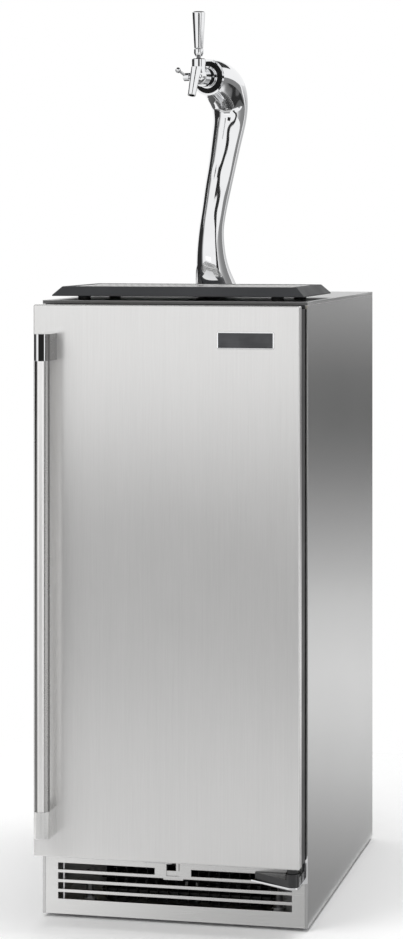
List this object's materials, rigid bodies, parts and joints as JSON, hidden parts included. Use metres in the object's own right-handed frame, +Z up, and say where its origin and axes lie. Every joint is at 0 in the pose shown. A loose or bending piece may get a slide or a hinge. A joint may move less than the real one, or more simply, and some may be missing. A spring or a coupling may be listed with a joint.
{
  "type": "draft beer dispenser",
  "caption": "Undercounter cooled cabinet with a hinged steel door, a curved chrome tower, a flow-control tap with a lever, and a lift-off drip tray on top.",
  "frame": {"origin": "on the floor under the middle of the object's box", "axes": "+Z up, the door faces -Y, the door's hinge is on the +X side"},
  "size_m": [0.378, 0.6636, 1.2834],
  "materials": {
    "door_steel": "vertical brushed stainless",
    "side_steel": "horizontal brushed stainless",
    "polished": "mirror polished",
    "satin_steel": "satin",
    "tray_grey": "fine textured dark grey",
    "black_plastic": "moulded",
    "black_rubber": "matt",
    "liner_steel": "satin embossed",
    "foam": "cut foam",
    "white_plastic": "moulded",
    "clear_line": "milky tube",
    "lens": "frosted",
    "black_paint": "gloss",
    "zinc": "plated",
    "brass": "machined",
    "badge": "bare plate"
  },
  "bodies": {
    "cabinet": {"left_side_panel": "side_steel", "right_side_panel": "side_steel", "top_panel": "side_steel", "rear_panel": "zinc", "base_pan": "zinc", "inner_liner": "liner_steel", "foam_insulation": "foam", "mouth_frame": "satin_steel", "toe_grille": "satin_steel", "lock_catch": "satin_steel", "keg_floor": "satin_steel", "compressor": "black_paint", "condenser_coil": "black_paint", "condenser_shroud": "zinc", "evaporator_coil": "liner_steel", "evaporator_cover": "white_plastic", "thermostat_housing": "white_plastic", "interior_lamp": "lens", "upper_hinge_plate": "satin_steel", "lower_hinge_arm": "polished", "lower_hinge_cover": "black_plastic", "hinge_pins": "satin_steel", "tower_base_seal": "black_rubber", "tower_column": "polished", "head_cap": "black_plastic", "faucet_shank": "polished", "coupling_nut": "polished", "faucet_body": "polished", "faucet_bonnet": "polished", "beer_line": "clear_line", "roof_bushing": "white_plastic", "gas_inlet": "brass", "power_gland": "black_plastic"},
    "door": {"door_skin": "door_steel", "door_tray": "black_plastic", "door_foam": "foam", "door_seal": "black_rubber", "badge_plate": "badge", "handle_bar": "polished", "upper_handle_bracket": "polished", "lower_handle_bracket": "satin_steel", "hinge_bushes": "white_plastic", "lock_barrel": "satin_steel"},
    "lock": {"lock_cam": "zinc"},
    "tap_lever": {"lever_ball": "satin_steel", "lever_ferrule": "polished", "lever_handle": "polished"},
    "valve": {"valve_shaft": "satin_steel"},
    "flow_control": {"flow_lever": "polished"},
    "dial": {"thermostat_dial": "black_plastic"},
    "condenser_fan_wheel": {"condenser_fan": "black_plastic"},
    "evaporator_fan_wheel": {"evaporator_fan": "white_plastic"},
    "tray": {"drip_tray": "tray_grey", "tray_pan": "tray_grey", "tray_feet": "black_rubber"},
    "grate": {"drip_grate": "tray_grey"},
    "front_left_leg_body": {"front_left_leg": "zinc"},
    "front_right_leg_body": {"front_right_leg": "zinc"},
    "rear_left_leg_body": {"rear_left_leg": "zinc"},
    "rear_right_leg_body": {"rear_right_leg": "zinc"}
  },
  "joints": [
    {"name": "door_hinge", "type": "hinge", "parent": "cabinet", "child": "door", "pos_m": [0.173, -0.2662, 0.465], "axis": [0, 0, 1], "range_deg": [0, 90]},
    {"name": "lock_turn", "type": "hinge", "parent": "door", "child": "lock", "pos_m": [-0.0013, -0.2602, 0.0902], "axis": [0, 0, -1], "range_deg": [0, 90]},
    {"name": "tap_lever_hinge", "type": "hinge", "parent": "cabinet", "child": "tap_lever", "pos_m": [-0.01553, -0.01416, 1.208], "axis": [0.9659, -0.2588, 0], "range_deg": [0, 24]},
    {"name": "valve_slide", "type": "slide", "parent": "cabinet", "child": "valve", "axis": [0.2588, 0.9659, 0], "range_m": [0, 0.0088]},
    {"name": "flow_control_hinge", "type": "hinge", "parent": "cabinet", "child": "flow_control", "pos_m": [-0.01372, -0.00739, 1.188], "axis": [-0.9659, 0.2588, 0], "range_deg": [-40, 40]},
    {"name": "thermostat_turn", "type": "hinge", "parent": "cabinet", "child": "dial", "pos_m": [0.062, -0.2022, 0.7983], "axis": [0, -1, 0], "range_deg": [0, 270]},
    {"name": "condenser_fan_spin", "type": "hinge", "parent": "cabinet", "child": "condenser_fan_wheel", "pos_m": [0, -0.0942, 0.052], "axis": [0, -1, 0], "continuous": true},
    {"name": "evaporator_fan_spin", "type": "hinge", "parent": "cabinet", "child": "evaporator_fan_wheel", "pos_m": [0, 0.2421, 0.7173], "axis": [0, -1, 0], "continuous": true},
    {"name": "tray_lift", "type": "slide", "parent": "cabinet", "child": "tray", "axis": [0, 0, 1], "range_m": [0, 0.15]},
    {"name": "grate_lift", "type": "slide", "parent": "tray", "child": "grate", "axis": [0, 0, 1], "range_m": [0, 0.08]},
    {"name": "front_left_leg_slide", "type": "slide", "parent": "cabinet", "child": "front_left_leg_body", "axis": [0, 0, -1], "range_m": [0, 0.02]},
    {"name": "front_right_leg_slide", "type": "slide", "parent": "cabinet", "child": "front_right_leg_body", "axis": [0, 0, -1], "range_m": [0, 0.02]},
    {"name": "rear_left_leg_slide", "type": "slide", "parent": "cabinet", "child": "rear_left_leg_body", "axis": [0, 0, -1], "range_m": [0, 0.02]},
    {"name": "rear_right_leg_slide", "type": "slide", "parent": "cabinet", "child": "rear_right_leg_body", "axis": [0, 0, -1], "range_m": [0, 0.02]}
  ],
  "couplings": [
    {"joint": "valve_slide", "follows": "tap_lever_hinge", "m_per_rad": 0.020531}
  ]
}
